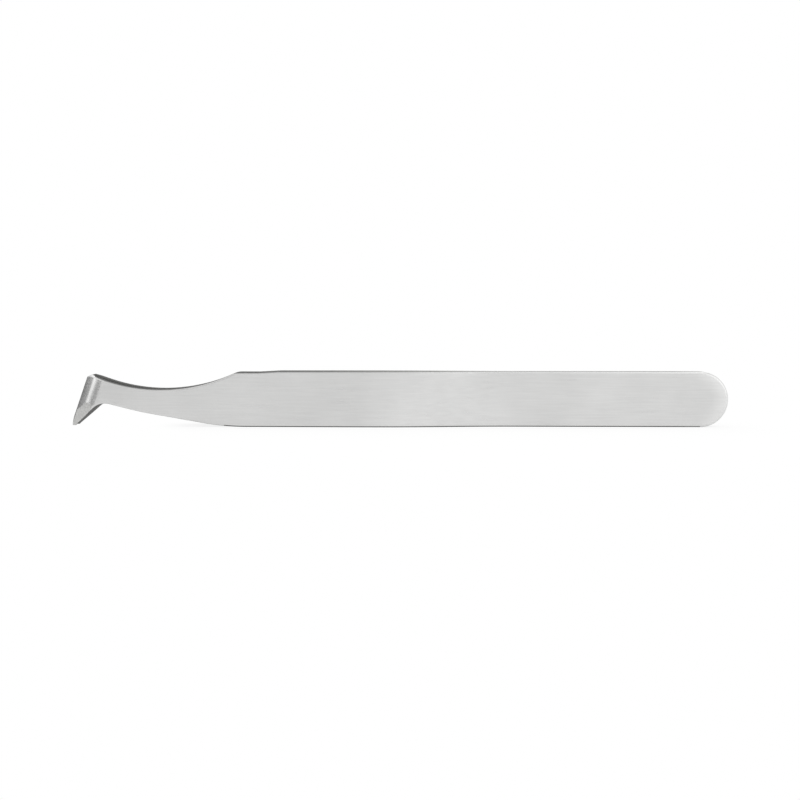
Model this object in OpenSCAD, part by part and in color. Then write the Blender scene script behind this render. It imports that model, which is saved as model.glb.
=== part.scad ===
// Cutting tweezers with oblique jaws, standing on their long lower edges.
// Two spring steel leaves are spot welded face to face at the heel. Each leaf bows outwards, narrows to a
// neck, and is bent inwards at the far end into a jaw whose cutting edge slants down to a fine tip.
// +X runs along the length to the heel, +Y from the front leaf to the rear leaf, and +Z up.
// The origin is at the middle of the length and the thickness, on the surface that the leaves stand on.

/* [Leaf, seen face on] */
// Overall length, from the tips of the jaws to the heel
length = 115; // [112:0.5:118]
// Width of a leaf at its heel
leaf_w = 9.7; // [9.4:0.1:10.4]
// Drop of the upper edge from the heel to the grip
upper_fall = 0.1; // [0:0.05:0.2]
// Further drop of the upper edge at the shoulder, where the grip ends
shoulder_fall = 0.2; // [0.1:0.05:0.25]
// Distance from the tip at which the upper edge starts to drop to the shoulder
shoulder_from_tip = 36.3; // [35.5:0.1:37.5]
// Radius of the hollow that narrows the upper edge to the neck
neck_r = 30; // [28:0.5:31]
// Height of the neck's lowest point on the upper edge
neck_top = 6.45; // [6.3:0.05:6.6]
// Distance of that lowest point from the tip
neck_from_tip = 15.7; // [15:0.1:16.5]
// Radius of the shoulder, the corner between the upper edge and the hollow
shoulder_r = 3; // [2:0.5:6]
// Slope at which the neck's lower edge leaves the grip, in degrees
neck_slope = 9.9; // [9.2:0.1:10.6]
// Slope that it has reached at the head, in degrees
nape_slope = 14; // [13:0.1:15]
// Distance of the foot of that slope from the tip
slope_from_tip = 26.8; // [26:0.1:27.5]
// Radius that eases the lower edge into the slope
foot_r = 45; // [30:1:60]

/* [Leaf, seen edge on] */
// Thickness of a leaf along its grip
leaf_t = 1.6; // [1.4:0.05:1.7]
// Gap between the two leaves where they are welded
weld_gap = 0.02; // [0.02:0.01:0.04]
// Length of the welded heel
weld_len = 37.5; // [36:0.5:39]
// Angle at which each leaf leaves the weld, in degrees
flare_deg = 8; // [7.5:0.1:8.5]
// Inner radius of that flare
flare_r = 60; // [50:5:70]
// Radius of the bow at the grip, on the outer face
bow_r = 80; // [70:5:85]
// Distance of the widest point of the bow from the tip
bow_from_tip = 52; // [51:0.5:53]
// Angle at which each leaf comes back in towards the neck, in degrees
return_deg = 1; // [0.8:0.1:1.2]

/* [Head] */
// Distance of the outer face of a head from the middle plane
head_y = 3.45; // [3.45:0.05:3.6]
// Thickness of the head
head_t = 1.65; // [1.6:0.05:1.65]
// Slant of the cutting edge and of the bend, in degrees from upright
edge_slant = 19; // [17:0.5:20]
// Outer radius of the bend
bend_r = 2.8; // [2.6:0.1:2.9]
// Angle that the jaw is bent through, in degrees
bend_deg = 49; // [49:0.5:54]
// Gap between the cutting edges at rest
edge_gap = 2.0; // [1.8:0.05:2]
// Angle between the ground inner side of a jaw and the middle plane, in degrees
grind_deg = 13; // [11:1:13]
// Slope of the head's lower edge, in degrees
chin_slope = 42; // [40:0.5:44]
// Height of the corner between the neck and the head's lower edge
chin_z = 4.3; // [4.2:0.05:4.4]
// Height of the tip above the surface below
tip_lift = 0.1; // [0.05:0.05:0.2]
// Radius that rounds the cutting edge back into the tip
nose_r = 6; // [4:0.5:7]
// Height, along the start of the bend, at which the relief ground outside the tip would run out
relief_top = 2.6; // [2.4:0.1:2.8]
// Angle at which the relief runs out up the head, in degrees
relief_rise = 18; // [16:0.5:20]

/* [Stop pin and welds] */
// Diameter of the stop pin
pin_d = 2.0; // [1.6:0.1:2.4]
// Distance of the stop pin from the tip
pin_from_tip = 29.5; // [28:0.5:31]
// Depth of the blind hole that the stop pin is pressed into
pin_depth = 0.9; // [0.7:0.05:0.9]
// Diameter of a spot weld
weld_d = 4.0; // [3:0.1:4.4]
// Depth of a spot weld into each leaf
weld_depth = 0.5; // [0.4:0.05:0.6]

/* [Hidden] */
$fn = 64;
steel = "silver";

tip_x = -length / 2;
heel_x = length / 2;
weld_x = heel_x - weld_len;
bow_x = tip_x + bow_from_tip;
inner_y = weld_gap / 2;

// The flare leaves the weld and ends in a straight run that meets the bow.
flare_end = [weld_x - flare_r * sin(flare_deg), inner_y + flare_r * (1 - cos(flare_deg))];
bow_inner_r = bow_r - leaf_t;
bow_start_x = bow_x + bow_inner_r * sin(flare_deg);
bow_start_y = flare_end[1] + (flare_end[0] - bow_start_x) * tan(flare_deg);
bow_y = bow_start_y - bow_inner_r * cos(flare_deg);
bow_end_x = bow_x - bow_inner_r * sin(return_deg);
bow_end_y = bow_y + bow_inner_r * cos(return_deg);

// Height of the inner face over the middle plane, on the straight run between the bow and the neck
function inner_at(x) = bow_end_y - (bow_end_x - x) * tan(return_deg);
// The same for the outer face
function outer_at(x) = inner_at(x) + leaf_t / cos(return_deg);

// The leaf thickens from the neck to the head along a soft S.
swell_from_tip = [18.5, 9.5];
swell_start_x = tip_x + swell_from_tip[0];
swell_end_x = tip_x + swell_from_tip[1];
swell_steps = 12;
function ease(k) = k * k * (3 - 2 * k);
function swell(from_y, to_y) = [for (i = [0:swell_steps]) let (k = i / swell_steps)
    [swell_start_x + (swell_end_x - swell_start_x) * k, from_y + (to_y - from_y) * ease(k)]];

arc_steps = 24;
function arc(centre, r, from, to) = [for (i = [0:arc_steps]) let (a = from + (to - from) * i / arc_steps)
    centre + r * [cos(a), sin(a)]];
function backwards(points) = [for (i = [len(points) - 1:-1:0]) points[i]];

// How far the strip and the outline run on past the head, which trims them
spare = 4;

// The jaw's section is drawn across the bend: u runs on from the bend's start, w inwards from the outer face.
edge_w = head_y - edge_gap / 2;
jaw_len = (edge_w - bend_r * (1 - cos(bend_deg))) / sin(bend_deg);
edge_u = bend_r * sin(bend_deg) + jaw_len * cos(bend_deg);
bend_inner_r = bend_r - head_t;
edge_run = edge_u / cos(edge_slant);
// Height of the ground inner side of the jaw
function grind_w(u) = edge_w - (edge_u - u) * tan(grind_deg);
// The line of the cutting edge, carried on down past the tip's round, meets the surface below here. It
// lies a little inside the round's tangent, so that the two cross cleanly.
nose_z = tip_lift + nose_r * sin(edge_slant);
nose_cross = 0.015;
edge_foot_x = tip_x + nose_r * (1 - cos(edge_slant)) - nose_z * tan(edge_slant) + nose_cross;
bend_x = edge_foot_x + edge_run;

// The upper edge: a short drop to the shoulder, then a hollow of neck_r, cut off at the head's top corner
shoulder_run = 3.6;
neck_c = [tip_x + neck_from_tip, neck_top + neck_r];
shoulder_z = leaf_w - upper_fall - shoulder_fall - shoulder_r;
shoulder_dz = neck_c[1] - shoulder_z;
shoulder_dx = sqrt(pow(neck_r + shoulder_r, 2) - pow(shoulder_dz, 2));
shoulder_a = atan2(-shoulder_dz, shoulder_dx);
crown_from_tip = 3.6;
crown_x = tip_x + crown_from_tip;
crown_a = -90 - asin((neck_c[0] - crown_x) / neck_r);
crown_slope = 14;
crown = neck_c + neck_r * [cos(crown_a), sin(crown_a)];

// The lower edge: flat along the grip, up the neck's slope, steeper at the nape, then down the chin to the
// blunt tip
foot_x = tip_x + slope_from_tip;
foot_reach = foot_r * tan(neck_slope / 2);
nape_r = 60;
nape_dx = 12.3;
nape_start = [foot_x - nape_dx, nape_dx * tan(neck_slope)];
nape_c = nape_start + nape_r * [sin(neck_slope), cos(neck_slope)];
nape_end = nape_c - nape_r * [sin(nape_slope), cos(nape_slope)];
chin_x = nape_end[0] - (chin_z - nape_end[1]) / tan(nape_slope);
chin_r = 3;
chin_c = [chin_x, chin_z] - chin_r / cos((nape_slope + chin_slope) / 2)
    * [-sin((chin_slope - nape_slope) / 2), cos((chin_slope - nape_slope) / 2)];
blunt_z = 0.4;
blunt_run = 0.6;
blunt_x = chin_x - (chin_z - blunt_z) / tan(chin_slope);

// Each leaf turns through close_deg as the jaws close, and the stop pin leaves the edges edge_clear apart.
edge_clear = 0.02;
close_deg = asin((edge_gap / 2 - edge_clear) / (weld_x - tip_x));
stop_x = tip_x + pin_from_tip;
stop_clear = 0.04;
stop_travel = (weld_x - stop_x) * sin(close_deg);
stop_out = 2 * (inner_at(stop_x) - stop_travel) - stop_clear;
pin_chamfer = 0.25;

weld_xs = [for (k = [0.22, 0.5, 0.78]) weld_x + weld_len * k];
weld_clear = 0.05;

// The bowed strip that the leaf is made from, as seen from above
module strip() {
    head_in = head_y - head_t;
    outer = concat(
        [[heel_x + spare, inner_y + leaf_t]],
        arc([weld_x, inner_y + flare_r], flare_r - leaf_t, -90, -90 - flare_deg),
        arc([bow_x, bow_y], bow_r, 90 - flare_deg, 90 + return_deg),
        swell(outer_at(swell_start_x), head_y),
        [[tip_x - spare, head_y]]);
    inner = concat(
        [[heel_x + spare, inner_y]],
        arc([weld_x, inner_y + flare_r], flare_r, -90, -90 - flare_deg),
        arc([bow_x, bow_y], bow_inner_r, 90 - flare_deg, 90 + return_deg),
        swell(inner_at(swell_start_x), head_in),
        [[tip_x - spare, head_in]]);
    translate([0, 0, -spare]) linear_extrude(leaf_w + 2 * spare) polygon(concat(outer, backwards(inner)));
}

// The outline of the leaf, seen face on
module outline() {
    half = leaf_w / 2;
    upper = concat(
        arc([heel_x - half, half], half, -90, 90),
        [[tip_x + shoulder_from_tip, leaf_w - upper_fall],
            [tip_x + shoulder_from_tip - shoulder_run, leaf_w - upper_fall - shoulder_fall]],
        arc([neck_c[0] + shoulder_dx, shoulder_z], shoulder_r, 90, 180 + shoulder_a),
        arc(neck_c, neck_r, shoulder_a, crown_a),
        [crown - [crown[0] - tip_x + spare, (crown[0] - tip_x + spare) * tan(crown_slope)]]);
    lower = concat(
        [[tip_x - spare, nose_z]],
        arc([tip_x + nose_r, tip_lift], nose_r, 180 - edge_slant, 180),
        [[tip_x + blunt_run, tip_lift], [blunt_x, blunt_z]],
        arc(chin_c, chin_r, 90 + chin_slope, 90 - nape_slope),
        arc(nape_c, nape_r, -90 - nape_slope, -90 - neck_slope),
        arc([foot_x + foot_reach, foot_r], foot_r, -90 - neck_slope, -90));
    translate([0, leaf_w, 0]) rotate([90, 0, 0]) linear_extrude(2 * leaf_w) polygon(concat(upper, lower));
}

// Carries what is drawn in u, w and the height along the slanted bend to its place at the head
module at_bend() {
    translate([bend_x, head_y, 0]) rotate([0, edge_slant, 0]) rotate([0, 0, 180]) children();
}

// Runs a section drawn in u and w out along the bend
module along_bend(from, to) {
    at_bend() translate([0, 0, from]) linear_extrude(to - from) children();
}

// The head bent inwards, and ground to a wedge from the bend to the cutting edge
module jaw() {
    out = [cos(bend_deg), sin(bend_deg)];
    across = [-sin(bend_deg), cos(bend_deg)];
    bend_end = bend_r * [sin(bend_deg), 1 - cos(bend_deg)];
    far = bend_end + (jaw_len + spare) * out;
    far_u = far[0];
    difference() {
        along_bend(-spare, leaf_w + spare) polygon(concat(
            [[-spare, 0]],
            arc([0, bend_r], bend_r, -90, -90 + bend_deg),
            [far, far + head_t * across],
            arc([0, bend_r], bend_inner_r, -90 + bend_deg, -90),
            [[-spare, head_t]]));
        along_bend(-2 * spare, leaf_w + 2 * spare) polygon([
            [0, grind_w(0)], [far_u, grind_w(far_u)], [far_u, 3 * spare], [0, 3 * spare]]);
        along_bend(-2 * spare, leaf_w + 2 * spare) translate([edge_u, 0]) square([2 * spare, 3 * spare]);
    }
}

// Material that the relief takes off the outside of the tip: all that stands proud of a flat from the bend to
// the cutting edge, up to where a second flat runs out across the bend
module relief() {
    start_u = 0.5;
    start_w = bend_r - sqrt(pow(bend_r, 2) - pow(start_u, 2));
    proud = 0.05;
    slope = (edge_w - proud - start_w) / (edge_u - start_u);
    far_u = edge_u + spare;
    run_out_turn = 31.5;
    intersection() {
        along_bend(-2 * spare, leaf_w) polygon([
            [start_u, start_w], [start_u, -spare], [far_u, -spare],
            [far_u, start_w + slope * (far_u - start_u)]]);
        at_bend() translate([0, 0, relief_top]) rotate([relief_rise, 0, run_out_turn])
            translate([-4 * spare, -8 * spare, -4 * spare]) cube(8 * spare);
    }
}

// Chamfer ground along the outer upper edge of the head, running out at the neck
module crown_chamfer() {
    run_out = [tip_x + 10, head_y, 7];
    rise_deg = 13;
    chamfer_deg = 45;
    translate(run_out) rotate([0, rise_deg, 0]) rotate([chamfer_deg, 0, 0])
        translate([-4 * spare, 0, -2 * spare]) cube([4 * spare, spare, 4 * spare]);
}

// The rear leaf as one piece: strip, neck and bent jaw
module leaf() {
    difference() {
        intersection() {
            outline();
            union() {
                jaw();
                difference() {
                    strip();
                    along_bend(-2 * spare, leaf_w + 2 * spare)
                        translate([0, -leaf_w]) square([4 * spare, 2 * leaf_w]);
                }
            }
        }
        relief();
        crown_chamfer();
        for (x = weld_xs) translate([x, inner_y + weld_depth, leaf_w / 2])
            rotate([90, 0, 0]) cylinder(d = weld_d + 2 * weld_clear, h = leaf_t + weld_depth);
    }
}

module front_arm() {
    color(steel) mirror([0, 1, 0]) leaf();
}

module rear_arm() {
    color(steel) difference() {
        leaf();
        translate([stop_x, inner_at(stop_x) + pin_depth, leaf_w / 2])
            rotate([90, 0, 0]) cylinder(d = pin_d, h = 3 * leaf_t);
    }
}

// Limit stop pressed into the rear leaf, so that the edges meet without being forced past each other
module stop_pin() {
    reach = stop_out + pin_depth;
    color("gainsboro") translate([stop_x, inner_at(stop_x) + pin_depth, leaf_w / 2]) rotate([90, 0, 0])
        rotate_extrude() polygon([
            [0, 0], [pin_d / 2, 0], [pin_d / 2, reach - pin_chamfer], [pin_d / 2 - pin_chamfer, reach],
            [0, reach]]);
}

// The spot welds, each seated in a shallow round in both leaves
module weld_nuggets() {
    color("dimgray") for (x = weld_xs) translate([x, inner_y + weld_depth, leaf_w / 2])
        rotate([90, 0, 0]) cylinder(d = weld_d, h = 2 * (inner_y + weld_depth));
}

front_arm();
rear_arm();
stop_pin();
weld_nuggets();
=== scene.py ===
# %% [markdown]
# # Cutting tweezers, dressed for their portrait
# These tweezers are two strips of spring steel, welded face to face at the round heel. Each strip bows
# outwards, narrows to a neck, and is bent inwards into a slanting jaw. Almost everything that shows is one
# plain material, so the likeness comes from three things: a true outline, soft broken edges that catch the
# light, and brushed steel that has something quiet to reflect.

import math

import bmesh
import bpy
from mathutils import Matrix, Vector


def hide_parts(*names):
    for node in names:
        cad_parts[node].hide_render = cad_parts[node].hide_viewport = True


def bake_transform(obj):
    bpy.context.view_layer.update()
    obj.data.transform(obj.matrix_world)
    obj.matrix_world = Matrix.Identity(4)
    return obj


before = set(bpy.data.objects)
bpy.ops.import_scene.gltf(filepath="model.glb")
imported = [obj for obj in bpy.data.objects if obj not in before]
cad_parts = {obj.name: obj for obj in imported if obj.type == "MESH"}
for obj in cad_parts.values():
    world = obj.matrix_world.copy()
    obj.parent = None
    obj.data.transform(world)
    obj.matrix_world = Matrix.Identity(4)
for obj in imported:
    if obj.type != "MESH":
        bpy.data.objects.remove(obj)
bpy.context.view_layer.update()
scene = bpy.context.scene
MM = 0.001

# %% [markdown]
# ## The camera
# The photograph is taken from in front and a little above, from a bit more than two tool lengths away. The
# horizon lies above the tool, so we see a sliver of the upper edges and of the far leaf. A short telephoto
# lens that is tipped down by a few degrees gives that. The small turn and the small roll are those of a
# hand-placed tool. The place of the camera is worked out from what the picture shows: its scale, the rows
# of the horizon and of the table under the tool, and the column that is seen square on. Only its distance
# is an estimate.

# %% Place the camera
FRAME_PX, SENSOR_MM = 800, 36
HORIZON_ROW, GROUND_ROW, SQUARE_ON_COLUMN = 303.35, 427.5, 405
ROLL_DEG = 0.126
# The scale holds at the outer face of the near head, which lies HEAD_Y in front of the middle plane
PX_PER_MM, HEAD_Y, DISTANCE = 5.76, 3.45, 260


def place_camera():
    middle = FRAME_PX / 2
    focal_px = PX_PER_MM * DISTANCE
    lens = bpy.data.cameras.new("portrait_lens")
    lens.sensor_width = SENSOR_MM
    lens.lens = focal_px / FRAME_PX * SENSOR_MM
    lens.clip_start, lens.clip_end = 0.01, 10
    camera = bpy.data.objects.new("portrait_camera", lens)
    scene.collection.objects.link(camera)
    height = (GROUND_ROW - HORIZON_ROW) / PX_PER_MM
    aside = (SQUARE_ON_COLUMN - middle) / PX_PER_MM
    tip_down = math.atan((middle - HORIZON_ROW) / focal_px)
    turn = math.atan((SQUARE_ON_COLUMN - middle) / focal_px)
    aim = (
        Matrix.Rotation(turn, 4, "Z")
        @ Matrix.Rotation(math.pi / 2 - tip_down, 4, "X")
        @ Matrix.Rotation(math.radians(ROLL_DEG), 4, "Z")
    )
    camera.matrix_world = Matrix.Translation(Vector((aside, -HEAD_Y - DISTANCE, height)) * MM) @ aim
    bpy.context.scene.camera = camera
    print(f"lens {lens.lens:.1f} mm, tipped down {math.degrees(tip_down):.2f} degrees")


place_camera()
# Standard shows a colour as it is written
scene.view_settings.view_transform = "Standard"

# %% [markdown]
# ## A few helpers
# A shape is drawn as a bmesh and becomes part of the scene through a mesh and an object. The first helper
# does that for every shape here. A material is a tree of nodes. Written out, each node takes one line to
# make, one to set each value and one to link it, which hides what the tree does. These helpers fold that
# into one call each, so that the trees further on read like formulas. Every pattern in them starts from
# Object coordinates, which stay with the steel when the camera or the leaf moves.

# %% Helpers for meshes and node trees


def put(name, shape, *finishes):
    """Makes a finished shape an object of the scene. Its faces keep the numbers of their finishes."""
    mesh = bpy.data.meshes.new(name)
    for finish in finishes:
        mesh.materials.append(finish)
    shape.to_mesh(mesh)
    shape.free()
    made = bpy.data.objects.new(name, mesh)
    scene.collection.objects.link(made)
    return made


def shader(name):
    """A new material with an empty node tree, and its output node"""
    material = bpy.data.materials.new(name)
    material.use_nodes = True
    tree = material.node_tree
    tree.nodes.clear()
    return material, tree, tree.nodes.new("ShaderNodeOutputMaterial")


def node(tree, kind, **values):
    """A node with values on its inputs, which are named with _ for a space"""
    made = tree.nodes.new(kind)
    for name, value in values.items():
        made.inputs[name.replace("_", " ")].default_value = value
    return made


def math_node(tree, operation, first, second):
    """Works on two numbers, each of them a plain value or the output of another node"""
    made = tree.nodes.new("ShaderNodeMath")
    made.operation = operation
    for socket, value in zip(made.inputs, (first, second)):
        if isinstance(value, (int, float)):
            socket.default_value = value
        else:
            tree.links.new(value, socket)
    return made.outputs[0]


def vector_node(tree, operation, source, other):
    """Works on the output of another node and a plain vector"""
    made = tree.nodes.new("ShaderNodeVectorMath")
    made.operation = operation
    made.inputs[1].default_value = other
    tree.links.new(source, made.inputs[0])
    return made.outputs["Value" if operation in ("DISTANCE", "DOT_PRODUCT") else "Vector"]


# %% [markdown]
# ## The table and the sky
# A white table under a white sky is the plainest studio there is, and brushed steel looks its own grey in
# it. In the photograph the table is pure white but for a thin shadow where the tool touches it. So the
# camera and the reflections see the table mostly as an even white glow, and only a share of the matte
# surface below shows through, which keeps that shadow. Further out, and under the raised neck, the glow
# takes over and no horizon line shows. All other light meets the matte surface alone, which is what lights
# the dull walls of the leaves from below.

# %% Make the sky


def make_sky():
    world = bpy.data.worlds.new("white_sky")
    world.use_nodes = True
    tree = world.node_tree
    tree.nodes.clear()
    white = node(tree, "ShaderNodeBackground", Color=(1, 1, 1, 1), Strength=1)
    out = tree.nodes.new("ShaderNodeOutputWorld")
    tree.links.new(white.outputs[0], out.inputs["Surface"])
    scene.world = world


make_sky()
print("the sky is", scene.world.name)

# %% Make the table
TABLE_R = 1.5
TABLE_GLOW = 0.84
# The glow takes over between these distances from a point under the grip, all in metres
FADE_AROUND_X, FADE_START, FADE_END = 0.02, 0.054, 0.064


def table_finish():
    """Matte white, mostly under an even glow for the camera and for reflections"""
    material, tree, out = shader("white_table")
    matte = node(tree, "ShaderNodeBsdfDiffuse", Color=(0.97, 0.97, 0.97, 1))
    glow = node(tree, "ShaderNodeEmission", Strength=1)
    place = tree.nodes.new("ShaderNodeTexCoord").outputs["Object"]
    fade = node(tree, "ShaderNodeMapRange", From_Min=FADE_START, From_Max=FADE_END, To_Min=TABLE_GLOW)
    fade.interpolation_type = "SMOOTHSTEP"
    tree.links.new(vector_node(tree, "DISTANCE", place, (FADE_AROUND_X, 0, 0)), fade.inputs["Value"])
    path = tree.nodes.new("ShaderNodeLightPath")
    seen = math_node(tree, "MAXIMUM", path.outputs["Is Camera Ray"], path.outputs["Is Glossy Ray"])
    share = math_node(tree, "MULTIPLY", fade.outputs[0], seen)
    mix = tree.nodes.new("ShaderNodeMixShader")
    for source, socket in zip((share, matte.outputs[0], glow.outputs[0]), mix.inputs):
        tree.links.new(source, socket)
    tree.links.new(mix.outputs[0], out.inputs["Surface"])
    return material


def make_table():
    shape = bmesh.new()
    bmesh.ops.create_circle(shape, cap_ends=True, segments=96, radius=TABLE_R)
    table = put("table", shape, table_finish())


make_table()
print("the table is", 2 * TABLE_R, "m across")

# %% [markdown]
# ## Lamps and grey cards
# Polished metal shows its surroundings, so a studio photographer places soft boxes for the bright streaks
# and grey cards for the dark ones. The bend of the head turns through nearly fifty degrees, so it shows all
# that stands on the left, one thing beside the other: a card, a soft box for the bright line, and a second
# card, which makes the slanting jaw dark. A high soft box behind them lights the crown of the jaw, a card
# above tones the upper edges down, and the other two boxes light the heel. The cards show only in
# reflections.

# %% Hang the soft boxes and cards
# The two ends of the tool, which the lamps and cards face, in metres
HEAD = Vector((-0.05, 0, 0.005))
HEEL = Vector((0.05, 0, 0.005))


def sin(a):
    return math.sin(math.radians(a))


def cos(a):
    return math.cos(math.radians(a))


def facing(target, bearing, rise, distance):
    """A place that far from the target, at a bearing from the front, positive to the right, and a rise.
    It is turned so that its own -Z points back at the target."""
    place = target + distance * Vector((sin(bearing) * cos(rise), -cos(bearing) * cos(rise), sin(rise)))
    turn = (target - place).to_track_quat("-Z", "Y").to_matrix().to_4x4()
    return Matrix.Translation(place) @ turn


def soft_box(name, target, bearing, rise, distance, width, height, radiance):
    light = bpy.data.lights.new(name, "AREA")
    light.shape = "RECTANGLE"
    light.size, light.size_y = width, height
    light.energy = radiance * math.pi * width * height
    box = bpy.data.objects.new(name, light)
    scene.collection.objects.link(box)
    box.matrix_world = facing(target, bearing, rise, distance)


def grey_card(name, target, bearing, rise, distance, width, height, grey):
    material, tree, out = shader(name)
    flat = node(tree, "ShaderNodeEmission", Color=(grey, grey, grey, 1))
    tree.links.new(flat.outputs[0], out.inputs["Surface"])
    shape = bmesh.new()
    bmesh.ops.create_grid(shape, x_segments=1, y_segments=1, size=0.5)
    bmesh.ops.scale(shape, vec=(width, height, 1), verts=shape.verts)
    bmesh.ops.transform(shape, matrix=facing(target, bearing, rise, distance), verts=shape.verts)
    card = put(name, shape, material)
    card.visible_camera = card.visible_diffuse = card.visible_shadow = card.visible_transmission = False


soft_box("box_left", HEAD, bearing=-84, rise=12, distance=0.4, width=0.15, height=0.35, radiance=0.42)
soft_box("box_high", HEAD, bearing=-136, rise=33, distance=0.5, width=0.25, height=0.15, radiance=0.5)
soft_box("box_right", HEEL, bearing=32, rise=12, distance=0.6, width=0.38, height=0.4, radiance=0.5)
soft_box("box_above", HEEL, bearing=0, rise=85, distance=0.5, width=0.3, height=0.2, radiance=0.3)
grey_card("card_left_front", HEAD, bearing=-40, rise=8, distance=0.35, width=0.22, height=0.4, grey=0.35)
grey_card("card_left_back", HEAD, bearing=-121, rise=5, distance=0.35, width=0.25, height=0.3, grey=0.4)
grey_card("card_above", HEAD, bearing=0, rise=90, distance=0.4, width=0.3, height=0.5, grey=0.75)

# %% [markdown]
# ## The leaf, as a toolmaker would make it
# A leaf is blanked from strip, and then its edges are broken, it is bowed and bent, and its tip is ground.
# The mesh is made in the same order. The outline is drawn with arcs and lines, filled, thickened, bevelled,
# sliced where it will bend and only then bent, so the bevel follows every curve. A subdivided box could be
# pushed into shape too, but its edges would never be as crisp.

# %% Measures of the leaf, in millimetres and degrees
LENGTH, LEAF_W, LEAF_T = 115, 9.7, 1.6
# The upper edge: a slight fall to the shoulder, the shoulder, the long hollow of the neck, and the crown
UPPER_FALL, SHOULDER_FALL, SHOULDER_FROM_TIP, SHOULDER_RUN, SHOULDER_R = 0.1, 0.2, 36.3, 3.6, 3
NECK_R, NECK_TOP, NECK_FROM_TIP = 30, 6.45, 15.7
CROWN_FROM_TIP, CROWN_SLOPE = 3.6, 14
# The lower edge: the foot of the grip, two slopes up to the nape behind the head, and the chin to the tip
FOOT_FROM_TIP, FOOT_R, NECK_SLOPE, NAPE_SLOPE = 26.8, 45, 9.9, 14
NAPE_R, NAPE_FROM_FOOT = 60, 12.3
CHIN_SLOPE, CHIN_Z, CHIN_R, CHIN_FOOT_Z = 42, 4.3, 3, 0.4
# The nose: its round runs out into a short flat, just above the table
NOSE_R, TIP_LIFT, NOSE_FLAT = 6, 0.1, 0.6
# Seen from above: flat at the weld, flared outwards, bowed, and turned back
WELD_GAP, WELD_LEN, FLARE_DEG, FLARE_R = 0.02, 37.5, 8, 60
BOW_R, BOW_FROM_TIP, RETURN_DEG = 80, 52, 1
# The head: bent along a slanting line, ground on the inside, its edge a hair inside the nose's round
HEAD_T, BEND_R, BEND_DEG, EDGE_SLANT, EDGE_INSET, EDGE_GAP, GRIND_DEG = 1.65, 2.8, 49, 19, 0.015, 2, 13

tip_x, heel_x = -LENGTH / 2, LENGTH / 2
weld_x = heel_x - WELD_LEN
foot_x = tip_x + FOOT_FROM_TIP
inner_y = WELD_GAP / 2
print(f"the leaf runs from {tip_x} to {heel_x}, and its weld starts at {weld_x}")

# %% Measures of the bend


def tan(a):
    return math.tan(math.radians(a))


# Places on the head are measured from where the bend starts: u to the edge, w inwards from the outer face
bend_run, bend_fall = BEND_R * sin(BEND_DEG), BEND_R * (1 - cos(BEND_DEG))
bend_inner_r = BEND_R - HEAD_T
edge_w = HEAD_Y - EDGE_GAP / 2
edge_u = bend_run + (edge_w - bend_fall) / tan(BEND_DEG)
nose_z = TIP_LIFT + NOSE_R * sin(EDGE_SLANT)
nose_x = tip_x + NOSE_R * (1 - cos(EDGE_SLANT))
bend_x = nose_x - nose_z * tan(EDGE_SLANT) + EDGE_INSET + edge_u / cos(EDGE_SLANT)
across_bend = Vector((-cos(EDGE_SLANT), 0, sin(EDGE_SLANT)))
print(f"the bend starts {bend_x - tip_x:.2f} mm from the tip and runs {edge_u:.2f} mm to the edge")

# %% [markdown]
# ## Steel
# The leaves are stainless steel with a fine lengthwise brushing. Up close that is a grey metal whose
# roughness changes in long thin streaks, with a trace of cloudiness. The streaks are noise that is
# stretched along the tool, and they move the roughness, the grey and, very slightly, the surface itself.
# The head was dressed by hand after it was bent, so a fine grain sets in where the bend starts. An
# anisotropic shader could stretch the highlights too, but in light as even as this the streaks are enough.
# Four finishes are needed: the brushed outside, what the wheel ground, the inside, and the narrow edges
# where the strip was blanked. The inside and the edges are painted dark, and the edges are hardly metallic:
# that is painted shade, for the shade between the leaves and the dark that the walls reflect. They come
# before the leaf, because its faces take their finish as they are made. The pin and the weld nuggets
# between the leaves take a plain steel each.
#
# ### Painted light and shade
# Each place that is lighter or darker is a patch: an amount that is added to the grey where all of its
# ramps have risen. The patches are painted light and shade: painted highlights and sheen where the steel
# would catch the lamps, and painted shade where it lies in shade or reflects something dark. A ramp rises
# from 0 to 1 between two places, measured along X or Z, headwards from the bend's start, or heelwards from
# the middle of the round heel. An image painted over the leaf could do the same, but ramps take no
# unwrapping and follow the measures of the leaf.

# %% Ramps and patches
HEADWARDS, HEELWARDS = "headwards", "heelwards"


def span(tree, source, low, high, from_min=0.3, from_max=0.7):
    """Maps a value from one range to another and holds it there. Noise keeps mostly between 0.3 and 0.7."""
    made = node(tree, "ShaderNodeMapRange", From_Min=from_min, From_Max=from_max, To_Min=low, To_Max=high)
    tree.links.new(source, made.inputs["Value"])
    return made.outputs[0]


def distance_along(tree, place, way):
    """How far a place lies along a way, in metres"""
    if way == HEADWARDS:
        from_bend = vector_node(tree, "SUBTRACT", place, (bend_x * MM, 0, 0))
        return vector_node(tree, "DOT_PRODUCT", from_bend, across_bend)
    if way == HEELWARDS:
        face_on = vector_node(tree, "MULTIPLY", place, (1, 0, 1))
        return vector_node(tree, "DISTANCE", face_on, ((heel_x - LEAF_W / 2) * MM, 0, LEAF_W / 2 * MM))
    apart = tree.nodes.new("ShaderNodeSeparateXYZ")
    tree.links.new(place, apart.inputs[0])
    return apart.outputs[way]


def ramp(tree, place, way, start, end):
    """Rises from 0 to 1 from the start to the end, in millimetres, and falls where the end comes first"""
    return span(tree, distance_along(tree, place, way), 0, 1, start * MM, end * MM)


def add_patch(tree, place, shade, amount, *ramps):
    """The shade, with the amount added where all the ramps have risen"""
    for way, start, end in ramps:
        amount = math_node(tree, "MULTIPLY", amount, ramp(tree, place, way, start, end))
    return math_node(tree, "ADD", shade, amount)


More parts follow.
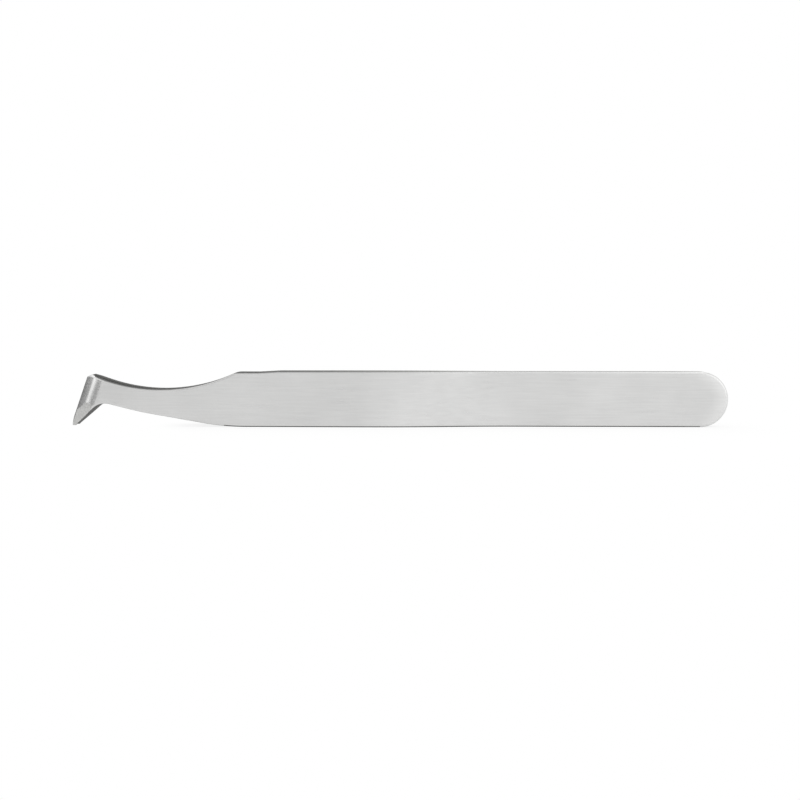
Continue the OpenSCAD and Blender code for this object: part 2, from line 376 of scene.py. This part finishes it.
# The whole of the head past the start of its bend, and the rim of the round heel
ON_HEAD = (HEADWARDS, -0.3, 0.5)
ROUND_HEEL = ((HEELWARDS, 2, LEAF_W / 2), ("X", 52, 55))
# Painted light and shade on the brushed outside
BRUSHED_PAINTED_LIGHT_AND_SHADE = (
    # Painted shade darkens the head towards the cutting edge, and a painted highlight the top of its bend
    (-0.54, (HEADWARDS, 2, 3.4)),
    (0.22, ON_HEAD, ("Z", 6, 9)),
    # Painted shade makes the half towards the head a trace darker, and a painted sheen the middle lighter
    (-0.02, ("X", 0, -50)),
    (0.06, ("X", -8, 0), ("X", 8, 0)),
    # Painted highlights brighten the rim of the heel, most of all its upper half, and the grip's upper rim
    (0.15, *ROUND_HEEL),
    (0.06, *ROUND_HEEL, ("Z", 2, 7)),
    (0.38, ("X", -22, 6), ("Z", 9.42, 9.56)),
)


def paint_light_and_shade(amount):
    """Painted light along the top of the grip and at the heel, and painted shade along the lowest edge"""
    return (
        (amount, ("X", -30, 3), ("Z", 4, 6)),
        (amount, ("X", 48, 57)),
        (-0.8, ("Z", 1, 0.3), ("X", -45, -35)),
    )


print("the brushed outside has", len(BRUSHED_PAINTED_LIGHT_AND_SHADE), "patches")

# %% Mix a steel
# A pit is rougher by this share of what it adds to the grey, and a streak is raised by this much at most
PIT_ROUGHNESS, STREAK_MM = 0.4, 0.02


def noise(tree, place, **values):
    made = node(tree, "ShaderNodeTexNoise", **values)
    tree.links.new(place, made.inputs["Vector"])
    return made.outputs["Fac"]


def steel(name, tint, roughness, streaks, bump, turn=(0, 0, 0), spread=0.05, grain=0, patches=(),
          metallic_look=True):
    """Metal with a tint, a least and a greatest roughness, and streaks per metre along X, Y and Z. Its grey
    strays by the spread all over and by the grain on the head. Without the metallic look it is dull and
    hardly metallic."""
    material, tree, out = shader(name)
    metal = node(tree, "ShaderNodeBsdfPrincipled", Metallic=metallic_look, Specular_IOR_Level=0.5 if metallic_look else 0.1)
    place = tree.nodes.new("ShaderNodeTexCoord").outputs["Object"]
    stretch = node(tree, "ShaderNodeMapping", Rotation=turn, Scale=streaks)
    tree.links.new(place, stretch.inputs["Vector"])
    lines = noise(tree, stretch.outputs[0], Scale=1, Detail=6, Roughness=0.6)
    clouds = noise(tree, place, Scale=90, Detail=3, Roughness=0.5)
    # Two noises together keep mostly between 0.6 and 1.4
    shade = span(tree, math_node(tree, "ADD", lines, clouds), 1 - spread, 1 + spread, 0.6, 1.4)
    rough = span(tree, lines, *roughness)
    if grain:
        pits = span(tree, noise(tree, place, Scale=3200, Detail=3, Roughness=0.7), -grain, grain)
        pits = math_node(tree, "MULTIPLY", pits, ramp(tree, place, *ON_HEAD))
        shade = math_node(tree, "ADD", shade, pits)
        rough = math_node(tree, "ADD", rough, math_node(tree, "MULTIPLY", pits, PIT_ROUGHNESS))
    for patch in patches:
        shade = add_patch(tree, place, shade, *patch)
    colour = tree.nodes.new("ShaderNodeVectorMath")
    colour.operation = "SCALE"
    colour.inputs[0].default_value = tint
    dent = node(tree, "ShaderNodeBump", Strength=bump, Distance=STREAK_MM * MM)
    tree.links.new(shade, colour.inputs["Scale"])
    tree.links.new(lines, dent.inputs["Height"])
    tree.links.new(colour.outputs[0], metal.inputs["Base Color"])
    tree.links.new(rough, metal.inputs["Roughness"])
    tree.links.new(dent.outputs[0], metal.inputs["Normal"])
    tree.links.new(metal.outputs[0], out.inputs["Surface"])
    return material


# %% Mix the finishes of the tool
BRUSHED, GROUND, INNER, EDGE = range(4)
LEAF_FINISHES = (
    steel("brushed_steel", (0.64, 0.64, 0.635), (0.27, 0.35), (150, 3000, 3600), bump=0.12,
          spread=0.08, grain=0.14, patches=BRUSHED_PAINTED_LIGHT_AND_SHADE),
    steel("ground_steel", (0.5, 0.5, 0.49), (0.38, 0.5), (2500, 2500, 5000), bump=0.5,
          turn=(0, math.radians(40), 0), spread=0.12, grain=0.2),
    # The inside and the blanked edges are dark as painted shade, with painted light along the grip and heel
    steel("inner_painted_shade_steel", (0.17, 0.17, 0.165), (0.45, 0.6), (200, 3000, 3000), bump=0.3,
          spread=0.12, patches=paint_light_and_shade(1.6)),
    steel("blanked_edge_painted_shade_steel", (0.12, 0.12, 0.118), (0.6, 0.8), (400, 400, 4000), bump=0.4,
          spread=0.15, patches=paint_light_and_shade(2.5), metallic_look=False),
)
turned = steel("turned_pin_steel", (0.5, 0.5, 0.5), (0.25, 0.4), (300, 4000, 300), bump=0.2)
welded = steel("welded_steel", (0.4, 0.4, 0.41), (0.45, 0.65), (900, 900, 900), bump=0.5, spread=0.15)
print("finishes:", ", ".join(finish.name for finish in LEAF_FINISHES + (turned, welded)))

# %% [markdown]
# ### Drawing the outline
# Spin turns one point round a centre and leaves an arc behind, and extrude carries it along a line.
# Chained, they trace the blank exactly as one would with compasses and a ruler. A curve object could hold
# the same outline, but its handles only come near a true arc.

# %% Two drawing tools


def line_to(shape, point, x, z):
    """Carries the pen point on in a straight line"""
    new = bmesh.ops.extrude_vert_indiv(shape, verts=[point])["verts"][0]
    new.co = (x, 0, z)
    return new


def arc_to(shape, point, centre, degrees, steps):
    """Swings the pen point round a centre, anticlockwise as seen from in front"""
    made = bmesh.ops.spin(shape, geom=[point], cent=(centre[0], 0, centre[1]), axis=(0, -1, 0),
                          dvec=(0, 0, 0), angle=math.radians(degrees), steps=steps, use_merge=False)
    return [g for g in made["geom_last"] if isinstance(g, bmesh.types.BMVert)][0]


# %% Trace the edges of the blank
# The blank is drawn this far past the tip, and what lies past the cutting edge is cut off later
SPARE = 1


def trace_upper_edge(shape, pen):
    """Round the heel, along the grip, over the shoulder and through the hollow of the neck to the crown"""
    pen = arc_to(shape, pen, (heel_x - LEAF_W / 2, LEAF_W / 2), 180, 40)
    shoulder_x, shoulder_top = tip_x + SHOULDER_FROM_TIP, LEAF_W - UPPER_FALL - SHOULDER_FALL
    pen = line_to(shape, pen, shoulder_x, LEAF_W - UPPER_FALL)
    pen = line_to(shape, pen, shoulder_x - SHOULDER_RUN, shoulder_top)
    neck = (tip_x + NECK_FROM_TIP, NECK_TOP + NECK_R)
    rise = neck[1] - (shoulder_top - SHOULDER_R)
    run = math.sqrt((NECK_R + SHOULDER_R) ** 2 - rise ** 2)
    shoulder_a = -math.degrees(math.atan2(rise, run))
    pen = line_to(shape, pen, neck[0] + run, shoulder_top)
    pen = arc_to(shape, pen, (neck[0] + run, shoulder_top - SHOULDER_R), 90 + shoulder_a, 10)
    crown_x = tip_x + CROWN_FROM_TIP
    crown_a = -90 - math.degrees(math.asin((neck[0] - crown_x) / NECK_R))
    pen = arc_to(shape, pen, neck, crown_a - shoulder_a, 40)
    return line_to(shape, pen, tip_x - SPARE, pen.co.z - (pen.co.x - tip_x + SPARE) * tan(CROWN_SLOPE))


def trace_nose(shape, pen):
    """Back under the spare steel and round the nose"""
    pen = line_to(shape, pen, tip_x - SPARE, nose_z)
    pen = line_to(shape, pen, nose_x, nose_z)
    pen = arc_to(shape, pen, (tip_x + NOSE_R, TIP_LIFT), EDGE_SLANT, 4)
    return line_to(shape, pen, tip_x + NOSE_FLAT, TIP_LIFT)


def trace_lower_edge(shape, pen):
    """Up the chin, round the nape, and down the neck to the foot of the grip"""
    nape_x = foot_x - NAPE_FROM_FOOT + NAPE_R * sin(NECK_SLOPE)
    nape = Vector((nape_x, NAPE_FROM_FOOT * tan(NECK_SLOPE) + NAPE_R * cos(NECK_SLOPE)))
    nape_end = nape - NAPE_R * Vector((sin(NAPE_SLOPE), cos(NAPE_SLOPE)))
    corner = Vector((nape_end[0] - (CHIN_Z - nape_end[1]) / tan(NAPE_SLOPE), CHIN_Z))
    pen = line_to(shape, pen, corner[0] - (CHIN_Z - CHIN_FOOT_Z) / tan(CHIN_SLOPE), CHIN_FOOT_Z)
    aside = (CHIN_SLOPE - NAPE_SLOPE) / 2
    reach = CHIN_R / cos((NAPE_SLOPE + CHIN_SLOPE) / 2)
    chin = corner - reach * Vector((-sin(aside), cos(aside)))
    pen = line_to(shape, pen, chin[0] - CHIN_R * sin(CHIN_SLOPE), chin[1] + CHIN_R * cos(CHIN_SLOPE))
    pen = arc_to(shape, pen, chin, -(CHIN_SLOPE + NAPE_SLOPE), 8)
    pen = line_to(shape, pen, nape_end[0], nape_end[1])
    pen = arc_to(shape, pen, nape, NAPE_SLOPE - NECK_SLOPE, 8)
    foot = (foot_x + FOOT_R * tan(NECK_SLOPE / 2), FOOT_R)
    pen = line_to(shape, pen, foot[0] - FOOT_R * sin(NECK_SLOPE), FOOT_R * (1 - cos(NECK_SLOPE)))
    return arc_to(shape, pen, foot, NECK_SLOPE, 10)


def trace_blank():
    """The outline of a leaf, seen face on, as one flat face"""
    shape = bmesh.new()
    start = shape.verts.new((heel_x - LEAF_W / 2, 0, 0))
    pen = start
    for trace in (trace_upper_edge, trace_nose, trace_lower_edge):
        pen = trace(shape, pen)
    shape.edges.new((pen, start))
    bmesh.ops.contextual_create(shape, geom=shape.edges[:])
    return shape


blank = trace_blank()
print("the blank has", len(blank.faces), "face and", len(blank.verts), "corners")

# %% [markdown]
# ### A ring inside the outline
# Smooth shading blends the directions of neighbouring faces. If the rounded rim met the broad face
# directly, that blend would reach right across it, and the flat steel would look like a pillow. A narrow
# ring of faces inside the outline takes the blend, and everything inside the ring stays truly flat.

# %% Inset the ring
RING = 0.4


def inset_ring(shape):
    bmesh.ops.inset_region(shape, faces=shape.faces[:], thickness=RING, use_boundary=True,
                           use_even_offset=True)


inset_ring(blank)
print("with its ring:", len(blank.faces), "faces")

# %% [markdown]
# ### Thickness and broken edges
# Extruding the whole blank gives it its thickness. The outer rim is then rounded over more than the inner
# one, as on the real leaf, where the outside is what the hand feels. The faces take their finishes now,
# while the outside, the walls and the inside can still be told apart by the way they face.

# %% Thicken the blank and break its rims
OUTER_ROUND, INNER_ROUND = 0.34, 0.1
TINY = 1e-6


def thicken(shape):
    grown = bmesh.ops.extrude_face_region(shape, geom=shape.faces[:])
    raised = [g for g in grown["geom"] if isinstance(g, bmesh.types.BMVert)]
    bmesh.ops.translate(shape, verts=raised, vec=(0, LEAF_T, 0))
    bmesh.ops.recalc_face_normals(shape, faces=shape.faces[:])


def rim(shape, y):
    """The edges between the face at that depth and the wall round it"""
    found = []
    for e in shape.edges:
        level = all(abs(v.co.y - y) < TINY for v in e.verts)
        if level and any(abs(f.normal.y) < 0.5 for f in e.link_faces):
            found.append(e)
    return found


def break_rims(shape):
    for y, size, steps in ((0, OUTER_ROUND, 3), (LEAF_T, INNER_ROUND, 2)):
        bmesh.ops.bevel(shape, geom=rim(shape, y), offset=size, offset_type="OFFSET", segments=steps,
                        profile=0.5, affect="EDGES", clamp_overlap=True, material=-1)


thicken(blank)
break_rims(blank)
print("thick and bevelled:", len(blank.faces), "faces")

# %% Give the faces their finishes
# How far a face has to face outwards: 1 is straight out, 0 upright and -1 straight in
# The lower edge of the grip takes the dark edge finish further round, as a painted contact shadow
OUTSIDE_FROM, CONTACT_SHADOW_OUTSIDE_FROM, WALL_FROM = 0.5, 0.8, -0.15


def finish_of(f):
    """The outside is brushed, the inside painted dark, and the walls and the last of the outer round as
    blanked.
    Along the lower edge of the grip, on the table, the blanked finish reaches further round as painted
    shadow."""
    facing_out = -f.normal.y
    on_grip = foot_x < f.calc_center_median().x < heel_x - LEAF_W / 2
    in_contact_shadow = on_grip and f.normal.z < -0.5
    if facing_out > (CONTACT_SHADOW_OUTSIDE_FROM if in_contact_shadow else OUTSIDE_FROM):
        return BRUSHED
    return EDGE if facing_out > WALL_FROM else INNER


blank.normal_update()
for face in blank.faces:
    face.material_index = finish_of(face)
print("brushed faces:", sum(face.material_index == BRUSHED for face in blank.faces))

# %% [markdown]
# ### Slicing
# A flat face can't bend, so it needs cross lines wherever the leaf will curve: every millimetre along the
# bow, and close together across the sharp bend of the head, where the lines slant as the bend does. The
# long straight heel needs none. Bisecting adds such lines without disturbing the shape, and it comes after
# the bevel, whose offsets would trip over lines that run close beside the outline. The last cut, along the
# cutting edge, also throws away what lies beyond it.

# %% Slice the blank where it will bend
# A corner that lies this close to a slice counts as lying on it
SNAP = 0.002
# Slices along the bow, 1 mm apart, steps round the outside and the inside of the bend, and slices at the
# edge, which have a pitch in millimetres
BOW_SLICES, BEND_STEPS, INNER_STEPS = 70, 10, 3
EDGE_SLICES, EDGE_PITCH = 4, 0.25


def slice_across(shape, place, normal, trim=False):
    cut = bmesh.ops.bisect_plane(shape, geom=shape.verts[:] + shape.edges[:] + shape.faces[:], dist=SNAP,
                                 plane_co=place, plane_no=normal, clear_outer=trim)
    if trim:
        bmesh.ops.holes_fill(shape, edges=[g for g in cut["geom_cut"] if isinstance(g, bmesh.types.BMEdge)])


def slice_head(shape, u, trim=False):
    """Slices the head that far along from the start of its bend"""
    slice_across(shape, Vector((bend_x, 0, 0)) + across_bend * u, across_bend, trim)


def slice_blank(shape):
    for i in range(BOW_SLICES):
        slice_across(shape, (weld_x - i, 0, 0), (1, 0, 0))
    for i in range(BEND_STEPS + 1):
        slice_head(shape, BEND_R * sin(BEND_DEG * i / BEND_STEPS))
    for i in range(INNER_STEPS):
        slice_head(shape, bend_inner_r * sin(BEND_DEG * (i + 1) / INNER_STEPS))
    for i in range(EDGE_SLICES):
        slice_head(shape, edge_u - EDGE_PITCH * (i + 1))
    slice_head(shape, edge_u, trim=True)


slice_blank(blank)
print("sliced into", len(blank.faces), "faces")

# %% [markdown]
# ### Bending
# Seen from above, a leaf is a chain of arcs and straight runs: flat at the weld, an easy flare, a straight
# run, the bow, a straight return, and a soft swell into the head. Each corner of the blank is shifted
# sideways to where that chain passes. Across the head the shift follows the sharp bend instead, out to the
# thin edge. Only the sideways place changes, so the outline seen face on stays as it was drawn. Simple
# Deform modifiers could bend the strip too, one for each arc, but they would shorten that outline.

# %% The leaf as seen from above
SWELL_START_FROM_TIP, SWELL_END_FROM_TIP = 18.5, 9.5

flare_end = (weld_x - FLARE_R * sin(FLARE_DEG), inner_y + FLARE_R * (1 - cos(FLARE_DEG)))
bow_x = tip_x + BOW_FROM_TIP
bow_inner_r = BOW_R - LEAF_T
bow_start_x = bow_x + bow_inner_r * sin(FLARE_DEG)
bow_y = flare_end[1] + (flare_end[0] - bow_start_x) * tan(FLARE_DEG) - bow_inner_r * cos(FLARE_DEG)
swell_x, head_x = tip_x + SWELL_START_FROM_TIP, tip_x + SWELL_END_FROM_TIP


def straight_in(x, depth):
    """Height of the return run over the middle plane, depth out from its inner face"""
    return bow_y + (bow_inner_r + depth) / cos(RETURN_DEG) - (bow_x - x) * tan(RETURN_DEG)


def bowed(x, depth):
    """Height over the middle plane of a point of the leaf, depth out from its inner face"""
    if x >= weld_x:
        return inner_y + depth
    r = FLARE_R - depth
    if weld_x - x <= r * sin(FLARE_DEG):
        return inner_y + FLARE_R - math.sqrt(r * r - (weld_x - x) ** 2)
    r = bow_inner_r + depth
    if x > bow_x + r * sin(FLARE_DEG):
        return flare_end[1] + (flare_end[0] - x) * tan(FLARE_DEG) + depth / cos(FLARE_DEG)
    if x > bow_x - r * sin(RETURN_DEG):
        return bow_y + math.sqrt(r * r - (x - bow_x) ** 2)
    if x > swell_x:
        return straight_in(x, depth)
    k = min(1, (swell_x - x) / (swell_x - head_x))
    start = straight_in(swell_x, depth)
    end = HEAD_Y - HEAD_T + depth * HEAD_T / LEAF_T
    return start + (end - start) * k * k * (3 - 2 * k)


print(f"the flare ends {flare_end[1]:.2f} mm out, and the bow starts at {bow_start_x:.1f}")

# %% Bend the leaf
# The jaw is nowhere thinner than this, so that its two sides don't meet
THINNEST = 0.02


def bent(u, depth):
    """Distance inwards from the head's outer face, depth out from the inner face of the jaw"""
    if u <= bend_run:
        outer = BEND_R - math.sqrt(BEND_R ** 2 - u * u)
    else:
        outer = bend_fall + (u - bend_run) * tan(BEND_DEG)
    inner = edge_w - (edge_u - u) * tan(GRIND_DEG)
    if u < bend_inner_r * sin(BEND_DEG):
        inner = min(inner, BEND_R - math.sqrt(bend_inner_r ** 2 - u * u))
    inner = max(inner, outer + THINNEST)
    return inner + (outer - inner) * depth / LEAF_T


def bend_leaf(shape):
    for v in shape.verts:
        u = (v.co - Vector((bend_x, 0, 0))).dot(across_bend)
        depth = LEAF_T - v.co.y
        if u > 0:
            v.co.y = bent(u, depth) - HEAD_Y
        else:
            v.co.y = -bowed(v.co.x, depth)


bend_leaf(blank)
print(f"the bow stands {-min(v.co.y for v in blank.verts):.2f} mm from the middle plane")

# %% [markdown]
# ### Grinding the head
# Two cuts finish the head. The first relieves the outside of the tip with two flats, which cross the bend
# and so leave a curved border. The second takes the upper outer corner off the jaw with one flat. Each
# takes a cutter away from the leaf, as the grinder does, because no bevel gives a border that runs across
# the bend like that. The cutter wears a finish too, and the faces that it leaves behind keep it.

# %% Shape the relief cutter
RELIEF_BLOCK = 16
# The second flat passes the start of the bend at this height, tipped and turned by these angles
RELIEF_TOP, RELIEF_RISE, RELIEF_TURN = 2.6, 18, 31.5
# The first flat starts this far along the bend, and passes this far outside the cutting edge
RELIEF_START, RELIEF_PROUD = 0.5, 0.05


def cut_off(shape, place, normal):
    """Cuts a solid off along a plane and closes it again"""
    cut = bmesh.ops.bisect_plane(shape, geom=shape.verts[:] + shape.edges[:] + shape.faces[:], dist=TINY,
                                 plane_co=place, plane_no=normal, clear_outer=True)
    bmesh.ops.holes_fill(shape, edges=[g for g in cut["geom_cut"] if isinstance(g, bmesh.types.BMEdge)])


def relief_cutter():
    """A block cut off along two flats: one from the bend to the edge, and one that runs out up the head"""
    shape = bmesh.new()
    bmesh.ops.create_cube(shape, size=RELIEF_BLOCK)
    start_w = bent(RELIEF_START, LEAF_T)
    turn = math.degrees(math.atan2(edge_w - RELIEF_PROUD - start_w, edge_u - RELIEF_START))
    cut_off(shape, (RELIEF_START, start_w, 0), (-sin(turn), cos(turn), 0))
    run_out = (-sin(RELIEF_TURN) * cos(RELIEF_RISE), cos(RELIEF_TURN) * cos(RELIEF_RISE), sin(RELIEF_RISE))
    cut_off(shape, (0, 0, RELIEF_TOP), run_out)
    cut_off(shape, (RELIEF_START, 0, 0), (-1, 0, 0))
    along_the_bend = Matrix((
        (-cos(EDGE_SLANT), 0, sin(EDGE_SLANT), bend_x),
        (0, 1, 0, -HEAD_Y),
        (sin(EDGE_SLANT), 0, cos(EDGE_SLANT), 0),
        (0, 0, 0, 1),
    ))
    bmesh.ops.transform(shape, matrix=along_the_bend, verts=shape.verts)
    bmesh.ops.recalc_face_normals(shape, faces=shape.faces[:])
    return shape


relief = relief_cutter()
print("the relief cutter has", len(relief.faces), "faces")

# %% Shape the crown cutter
# The size of the block, and how far in from the corner its flat lies
CROWN_BLOCK, CROWN_CUT = 6, 0.28
# The corner that comes off, from the start of the bend and the outer face, and the way its flat faces
CROWN_CORNER = Vector((0.87, 0.96, 9))
CROWN_FACING = Vector((-0.48, -0.47, 0.74)).normalized()


def crown_cutter():
    """A block whose underside takes the upper outer corner off the jaw"""
    shape = bmesh.new()
    bmesh.ops.create_cube(shape, size=CROWN_BLOCK)
    bmesh.ops.translate(shape, verts=shape.verts, vec=(0, 0, CROWN_BLOCK / 2))
    turn = CROWN_FACING.to_track_quat("Z", "Y").to_matrix().to_4x4()
    corner = CROWN_CORNER + Vector((bend_x, -HEAD_Y, 0))
    place = Matrix.Translation(corner - CROWN_FACING * CROWN_CUT)
    bmesh.ops.transform(shape, matrix=place @ turn, verts=shape.verts)
    return shape


crown = crown_cutter()
print("the crown cutter has", len(crown.faces), "faces")

# %% Grind the leaf


def in_metres(shape, name):
    """Makes a shape that is drawn in millimetres an object of the scene, with the finishes of a leaf"""
    bmesh.ops.scale(shape, vec=(MM, MM, MM), verts=shape.verts)
    return put(name, shape, *LEAF_FINISHES)


def grind_away(leaf, shape, finish):
    """Takes a cutter away from the leaf. The faces that it leaves take the finish."""
    for f in shape.faces:
        f.material_index = finish
    cutter = in_metres(shape, "cutter")
    cut = leaf.modifiers.new("cut", "BOOLEAN")
    cut.operation, cut.solver, cut.object = "DIFFERENCE", "EXACT", cutter
    graph = bpy.context.evaluated_depsgraph_get()
    mesh = bpy.data.meshes.new_from_object(leaf.evaluated_get(graph))
    leaf.modifiers.clear()
    leaf.data = mesh
    bpy.data.objects.remove(cutter)


front_leaf = in_metres(blank, "front_leaf")
grind_away(front_leaf, relief, GROUND)
grind_away(front_leaf, crown, BRUSHED)
print("ground leaf:", len(front_leaf.data.polygons), "faces")

# %% [markdown]
# ### Creases, and the far leaf
# Smooth shading makes the facets of the rims and the bow read as one curve, but it would blur the true
# corners and the borders of what the wheel ground, so those edges are marked sharp. The far leaf is the
# mirror image of the near one, as on the real tool, where both come from one die and are bent opposite
# ways. Mirroring a mesh turns it inside out, so its faces are reversed afterwards.

# %% Crease the leaf and mirror it
CREASE_DEG = 35


def crease(leaf):
    """Smooth all over, but for true corners and the borders of ground faces"""
    shape = bmesh.new()
    shape.from_mesh(leaf.data)
    for f in shape.faces:
        f.smooth = True
    for e in shape.edges:
        finishes = {f.material_index for f in e.link_faces}
        ground_border = GROUND in finishes and len(finishes) > 1
        e.smooth = e.calc_face_angle(0) < math.radians(CREASE_DEG) and not ground_border
    counts = [sum(f.material_index == i for f in shape.faces) for i in range(len(LEAF_FINISHES))]
    print(leaf.name, "has brushed, ground, inner and edge faces:", counts)
    shape.to_mesh(leaf.data)
    shape.free()


def mirrored(leaf, name):
    shape = bmesh.new()
    shape.from_mesh(leaf.data)
    bmesh.ops.scale(shape, vec=(1, -1, 1), verts=shape.verts)
    bmesh.ops.reverse_faces(shape, faces=shape.faces[:])
    return put(name, shape, *LEAF_FINISHES)


crease(front_leaf)
rear_leaf = mirrored(front_leaf, "rear_leaf")
print("the mirrored leaf has", len(rear_leaf.data.polygons), "faces")

# %% [markdown]
# ## The leaves in place of the arms
# In the imported model each leaf is rigid and turns on a sprung hinge at the end of its weld. The real leaf
# has no hinge and bends instead. So each new leaf stands for its rigid one, which is hidden, and its
# placement is baked into its mesh. The stop pin and the weld nuggets sit between the leaves. They keep the
# shapes of the imported model and only take a finish.

# %% Put the leaves in place of the arms, and dress the pin and the nuggets


def dress(piece, finish):
    piece.data.materials.clear()
    piece.data.materials.append(finish)


for leaf, body in ((front_leaf, "front_arm"), (rear_leaf, "rear_arm")):
    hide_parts(body)
    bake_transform(leaf)
for name, finish in (("stop_pin", turned), ("weld_nuggets", welded)):
    dress(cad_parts[name], finish)
    print(name, "is dressed in", finish.name)
